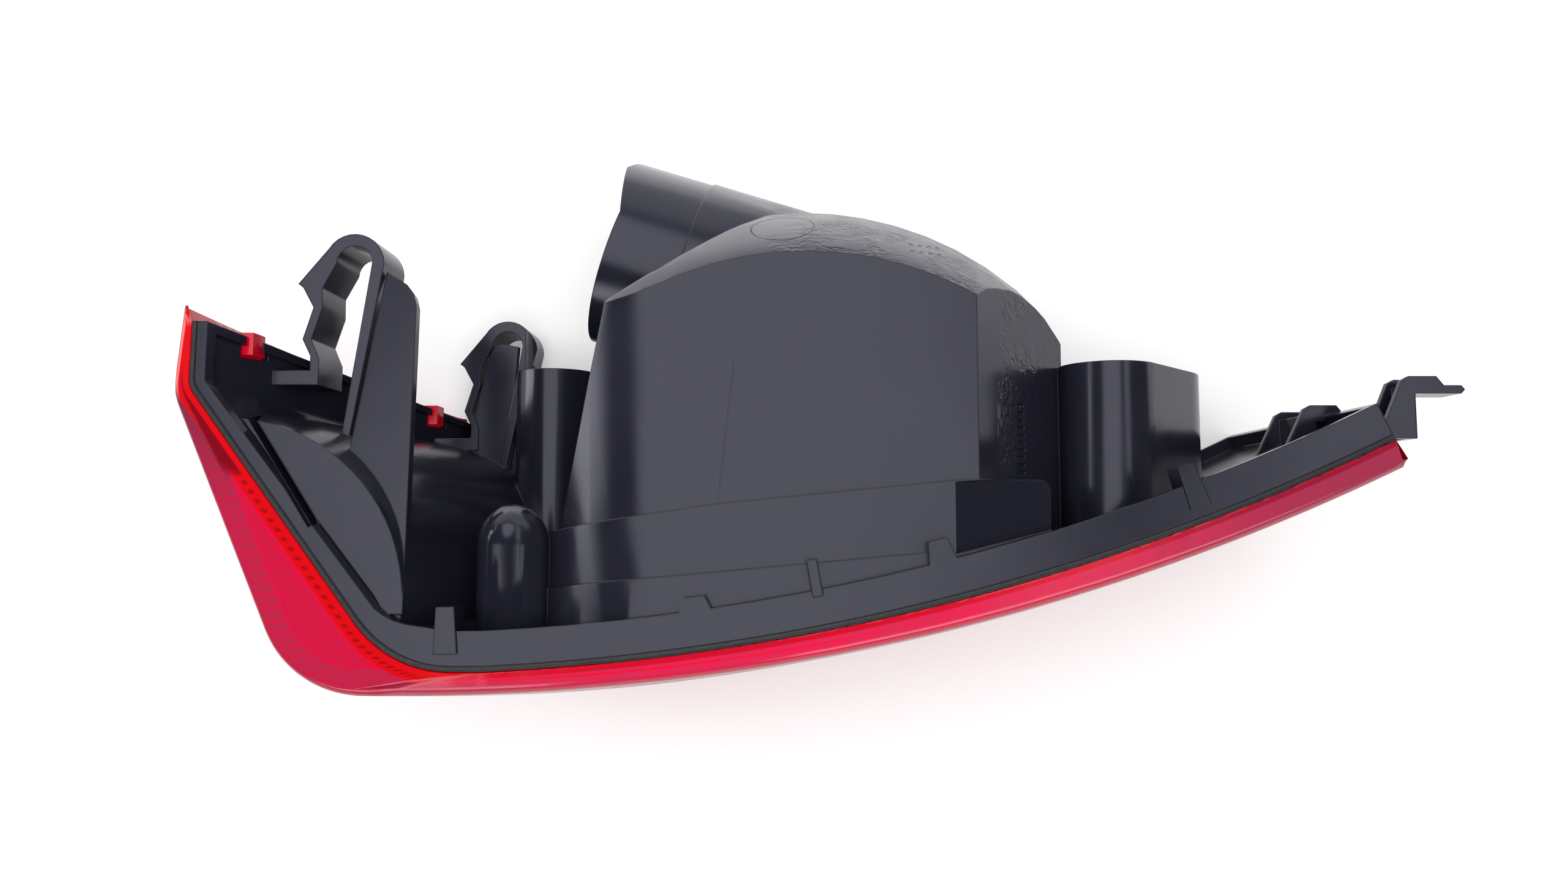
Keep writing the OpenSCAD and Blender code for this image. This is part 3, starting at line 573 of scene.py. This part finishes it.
class LensLoft:
    """The outer lens, lofted from its outer line and its joint line in plan."""

    WRAP_SPAN, WRAP_LEAD = 16, 4
    WEDGE_Y0, WEDGE_Y1, WEDGE_DEPTH, WEDGE_SLANT = 36, 64, 5.2, 0.12
    LUG_SIZE, LUG_DROPS, LUG_BACK = Vector((5.4, 6, 7)), (15, 78), Vector((0, -1, 0))
    TIP_AHEAD, TIP_R = Vector((2, 0.8)), 2.4
    LIP_H = EDGE_R * 0.6
    FAR_FROM_JOINT = 9.0

    def __init__(self):
        self.outer, self.joint = filled(lens_line(), shifted(joint_line(), SEAL_W / 2), LENS_STEP)
        self.run = lengths(self.outer)
        wrap_at = next(run for run, p in zip(self.run, self.outer) if p.x <= REAR_X0)
        self.wrap = [smooth((run - wrap_at + self.WRAP_LEAD) / self.WRAP_SPAN) for run in self.run]
        edge = [EDGE_R * (1 - math.cos(math.pi / 2 * i / EDGE_STEPS)) for i in range(EDGE_STEPS + 1)]
        middle = [EDGE_R + (LAMP_H - 2 * EDGE_R) * i / FACE_STEPS for i in range(1, FACE_STEPS)]
        self.levels = edge + middle + [LAMP_H - v for v in reversed(edge)]
        self.bm = bmesh.new()
        for name in LENS_VALUES:
            self.bm.verts.layers.float.new(name)

    def vertex(self, p, z, **values):
        """A vertex at a leaned plan point, kept inside the CAD model's box."""
        at = leaned(p, z)
        v = self.bm.verts.new(Vector((max(at.x, LOW.x), max(at.y, LOW.y), z)) * MM)
        for name, value in values.items():
            v[self.bm.verts.layers.float[name]] = value
        return v

    def skin(self, rows, turned=False):
        """Faces between rows of vertices."""
        for a, b in zip(rows, rows[1:]):
            for k in range(len(a) - 1):
                quad = (a[k], a[k + 1], b[k + 1], b[k])
                self.bm.faces.new(quad[::-1] if turned else quad)

    def face(self):
        """Rows of the outer face from the foot to the top, with the walls' colour carried round its edges."""
        rows = []
        for z in self.levels:
            lip = smooth((self.LIP_H - min(z, LAMP_H - z)) / self.LIP_H)
            rows.append([self.vertex(p, z, run=self.run[i], on_wrap=self.wrap[i], on_wall=lip,
                                     from_joint=to_path(p, self.joint))
                         for i, p in enumerate(shifted(self.outer, bulge(z)))])
        self.skin(rows)
        return rows

    def in_wedge(self, p):
        """1 inside the dark wedge by the side knee, with soft edges."""
        depth = to_path(p, self.outer) - self.WEDGE_DEPTH + (p.y - self.WEDGE_Y0) * self.WEDGE_SLANT
        return smooth((p.y - self.WEDGE_Y0) / 2) * smooth((self.WEDGE_Y1 - p.y) / 3) * smooth(depth / 0.6)

    def wall(self, z):
        """The wall from the outer face across to the joint, at the top or at the foot."""
        grid = []
        for i, p in enumerate(shifted(self.outer, bulge(z))):
            points = [p.lerp(self.joint[i], k / WALL_STEPS) for k in range(WALL_STEPS + 1)]
            grid.append([self.vertex(q, z, run=self.run[i], on_wrap=self.wrap[i], on_wall=1.0,
                                     on_wedge=self.in_wedge(q), from_edge=to_path(q, self.outer),
                                     from_joint=to_path(q, self.joint)) for q in points])
        self.skin(grid, turned=z > 0)

    def joint_edge(self):
        """The side along the joint, which meets the sealant."""
        self.skin([[self.vertex(p, z, run=self.run[i], on_wall=1.0, on_wrap=1.0)
                    for i, p in enumerate(self.joint)] for z in (0.0, LAMP_H)])

    def inboard_tip(self):
        """A point on the rounded corner between the outer face and the inboard end."""
        return fillet(self.outer[1], self.outer[0] + self.TIP_AHEAD, self.joint[0], self.TIP_R, 3)[2]

    def end(self, rows, i, between=None):
        """The cut end at point i of the plan, by way of a point between where one is given."""
        strips = [[row[i] for row in rows]]
        if between:
            strips.append([self.vertex(between, z, from_joint=self.FAR_FROM_JOINT) for z in self.levels])
        strips.append([self.vertex(self.joint[i], z, run=self.run[i], on_wrap=1.0,
                                   from_joint=self.FAR_FROM_JOINT) for z in self.levels])
        self.skin(strips, turned=i == 0)

    def lugs(self):
        """Two lugs at the far end of the wrap."""
        for drop in self.LUG_DROPS:
            at = leaned(JOINT_TIP, LAMP_H - drop) + self.LUG_BACK
            place = Matrix.Translation(at * MM) @ Matrix.Diagonal((*(self.LUG_SIZE * MM), 1))
            for v in bmesh.ops.create_cube(self.bm, size=1.0, matrix=place)["verts"]:
                for name in ("on_wall", "from_joint"):
                    v[self.bm.verts.layers.float[name]] = 1.0


def lens():
    loft = LensLoft()
    rows = loft.face()
    for z in (LAMP_H, 0.0):
        loft.wall(z)
    loft.joint_edge()
    loft.end(rows, 0, loft.inboard_tip())
    loft.end(rows, len(loft.outer) - 1)
    bmesh.ops.remove_doubles(loft.bm, verts=loft.bm.verts, dist=0.001 * MM)
    loft.lugs()
    bmesh.ops.recalc_face_normals(loft.bm, faces=loft.bm.faces)
    smooth_faces(loft.bm, LENS_ANGLE)
    add_piece("lens_shell", loft.bm, lens_material(), "outer_lens")


def bead_profile(wide):
    """Offsets across and above the joint, round the bead."""
    inner, foot = -0.75, -0.9
    return (inner, foot), (inner, 0.1), (-0.2, 0.24), (wide * 0.8, 0.2), (wide, 0.02), (wide, foot)


def sealant_bead():
    """Ragged bead of sealant that shows along the joint's upper side, thin and even along the wrap."""
    path = spaced(joint_line(), BEAD_STEP)
    thin, swell, swell_x, swell_span = 0.35, 0.5, -55, 14
    bm = bmesh.new()
    last = None
    for i, p in enumerate(path):
        # waves of unlike lengths, so that no stretch repeats another
        rag = math.sin(i * 1.7) * math.sin(i * 0.37 + 1) + 0.6 * math.sin(i * 3.1 + 2)
        wide = thin + swell * smooth((p.x - swell_x) / swell_span) * (0.75 + 0.35 * rag)
        side = across(path, i)
        ring = [bm.verts.new(leaned(p + side * s, LAMP_H + h) * MM) for s, h in bead_profile(wide)]
        if last:
            for k in range(len(ring)):
                after = (k + 1) % len(ring)
                bm.faces.new((last[k], ring[k], ring[after], last[after]))
        else:
            bm.faces.new(ring)
        last = ring
    bm.faces.new(last[::-1])
    bmesh.ops.recalc_face_normals(bm, faces=bm.faces)
    smooth_faces(bm, BEAD_ANGLE)
    add_piece("sealant_bead", bm, SEALANT)


BLACK = black_plastic("black_plastic", (0.0150, 0.0150, 0.0260), 0.18)
SEALANT = plain("sealant", (0.010, 0.010, 0.012), 0.42, grain=1.2, depth=0.5)
CHROME = plain("bright_liner", (0.86, 0.87, 0.89), 0.12, metal=1.0, depth=0.04)
BRASS = plain("brass", (0.72, 0.56, 0.28), 0.28, metal=1.0)
RUBBER = plain("gasket", (0.03, 0.03, 0.032), 0.6)
GREY = plain("holder_plastic", (0.10, 0.10, 0.11), 0.42)
STEEL = plain("filament", (0.55, 0.55, 0.57), 0.3, metal=1.0)
GLASS = plain("bulb_glass", (0.95, 0.97, 0.98), 0.03, depth=0.02, Transmission_Weight=1.0, IOR=1.5)
REFLEX = plain("reflex", (0.62, 0.004, 0.02), 0.2, grain=0.6, depth=0.6)

dressed("housing", BLACK)
lens()
sealant_bead()
dressed("lens_seal", SEALANT)
dressed("reflex_panel", REFLEX)
for chamber in ("main", "fog", "tail"):
    dressed(chamber + "_reflector", CHROME)
for lamp in ("stop", "fog", "tail"):
    dressed(lamp + "_gasket", RUBBER)
    dressed(lamp + "_holder", GREY)
    dressed(lamp + "_contacts", BRASS)
    dressed(lamp + "_bulb_glass", GLASS, GLASS_ANGLE)
    dressed(lamp + "_bulb_filament", STEEL)
dressed("stop_bulb_cap", BRASS)


# Floor, light and camera

def floor_material():
    """Pale floor, white to the camera away from the object, and bright ahead of it in reflections."""
    m = Material("floor")
    p = m.place()
    rays = m.node("ShaderNodeLightPath").outputs
    to_camera = m.ramp(m.vec("LENGTH", p), 350, 1300, 0.26, 1.0)
    to_gloss = m.ramp(m.split(p)[1], 120, 230, 0.05, 1.25)
    m.set(Base_Color=m.mix(m.noise(p, 0.002, 2), (0.88, 0.88, 0.89), (0.90, 0.90, 0.905)), Roughness=0.9,
          Emission_Color=(1, 1, 1),
          Emission_Strength=m.plus(m.times(rays["Is Camera Ray"], to_camera),
                                   m.times(rays["Is Glossy Ray"], to_gloss)))
    return m.mat


def floor():
    half_size, below = 4.0, 0.5 * MM
    bm = bmesh.new()
    bmesh.ops.create_grid(bm, x_segments=2, y_segments=2, size=half_size)
    o = from_bmesh("floor", bm, floor_material())
    o.location.z = -below


def studio_shapes(w):
    """What shines in the room: a panel round the camera, strips at the left, front and right, and a wall.

    Limits are along x, y and z of the direction, and each line ends with the shape's strength.
    """
    x, y, z = w.split(w.node("ShaderNodeTexCoord").outputs["Generated"])
    around = w.combine(w.math("DIVIDE", w.plus(x, 0.12), 0.36), w.math("DIVIDE", w.minus(y, 0.1), 0.55))
    panel = w.times(w.ramp(w.vec("LENGTH", around), 1.12, 0.80), w.ramp(z, 0.2, 0.5), 1.95)
    left = w.times(w.ramp(x, -0.55, -0.8), w.ramp(z, 0.66, 0.42), w.band(y, -0.02, 0.30, 0.12), 4.5)
    front = w.times(w.ramp(y, -0.55, -0.72), w.band(z, 0.25, 0.6, 0.1),
                    w.ramp(w.math("ABSOLUTE", x), 0.11, 0.18), 3.5)
    right = w.times(w.ramp(x, 0.30, 0.42), w.ramp(x, 0.62, 0.5), w.ramp(z, 0.6, 0.8), 1.6)
    wall = w.times(w.ramp(y, 0.45, 0.8), w.ramp(z, 0.9, 0.5), 1.2)
    return w.plus(w.highest(panel, left, front), right, wall)


def studio():
    """White to the camera, even and dim to matt surfaces, and a dark room with bright shapes in gloss."""
    matt_level, room_level = 0.30, 0.06
    world = bpy.data.worlds.new("studio")
    bpy.context.scene.world = world
    world.use_nodes = True
    w = Nodes(world.node_tree)
    rays = w.node("ShaderNodeLightPath").outputs
    glossy = rays["Is Glossy Ray"]
    level = w.plus(w.times(glossy, w.plus(studio_shapes(w), room_level)),
                   w.times(w.inverse(glossy), matt_level))
    white = w.highest(rays["Is Camera Ray"], rays["Is Transmission Ray"])
    ground = w.tree.nodes["Background"].inputs
    w.put(ground["Strength"], w.highest(level, white))
    w.put(ground["Color"], (1.0, 1.0, 1.0))


def softbox(name, at, target, size, power):
    light = bpy.data.lights.new(name, "AREA")
    light.shape = "RECTANGLE"
    light.size, light.size_y = size
    light.energy = power
    o = bpy.data.objects.new(name, light)
    o.location = at
    o.rotation_euler = (Vector(target) - Vector(at)).to_track_quat("-Z", "Y").to_euler()
    o.visible_glossy = False
    bpy.context.scene.collection.objects.link(o)


def photo_camera():
    """The photograph's view, from above.

    In a picture 2000 pixels wide, lines along z meet below_middle pixels below its middle.
    """
    below_middle, focal_pixels = 124, 1444
    stands_at = (0, 0.021, 0.384)
    camera = bpy.data.cameras.new("camera")
    camera.sensor_width, camera.lens = 36.0, 25.99
    camera.clip_start, camera.clip_end = 0.01, 20.0
    o = bpy.data.objects.new("camera", camera)
    tilt = math.atan(below_middle / focal_pixels)
    forward = Vector((0, math.sin(tilt), -math.cos(tilt)))
    upward = Vector((0, math.cos(tilt), math.sin(tilt)))
    turn = Matrix((Vector((1, 0, 0)), upward, -forward)).transposed().to_4x4()
    o.matrix_world = Matrix.Translation(stands_at) @ turn
    bpy.context.scene.collection.objects.link(o)
    bpy.context.scene.camera = o


floor()
studio()
softbox("left_softbox", at=(-0.9, 0.3, 0.7), target=(0, 0.05, 0.05), size=(0.5, 1.2), power=2.8)
softbox("top_softbox", at=(0.1, 0.1, 1.3), target=(0, 0.03, 0.05), size=(1.4, 1.4), power=15)
photo_camera()
bpy.context.scene.view_settings.view_transform = "Standard"
